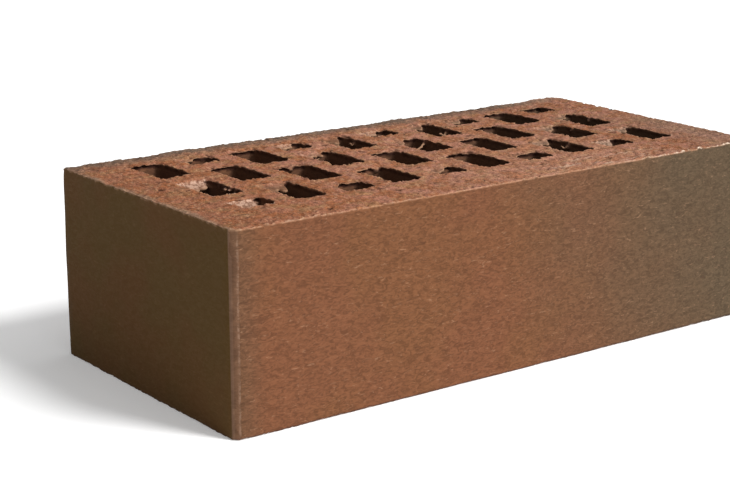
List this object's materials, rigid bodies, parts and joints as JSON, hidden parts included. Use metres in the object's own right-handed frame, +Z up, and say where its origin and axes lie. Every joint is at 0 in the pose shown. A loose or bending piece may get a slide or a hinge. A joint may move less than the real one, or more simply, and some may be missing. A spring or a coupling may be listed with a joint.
{
  "type": "clay brick",
  "caption": "Perforated clay facing brick with staggered rectangular slots that run from bed to bed.",
  "frame": {"origin": "centre of the bottom bed", "axes": "+X along the length, -Y out of the face that is laid to the outside of a wall, +Z up along the slots to the top bed"},
  "size_m": [0.24, 0.115, 0.071],
  "materials": {
    "fired_clay": "unglazed red-brown fired clay, fine-grained on the die-made sides, coarse and torn on the wire-cut beds, grey-brown flashing on edges"
  },
  "bodies": {
    "root": {"brick": "fired_clay"}
  },
  "joints": []
}
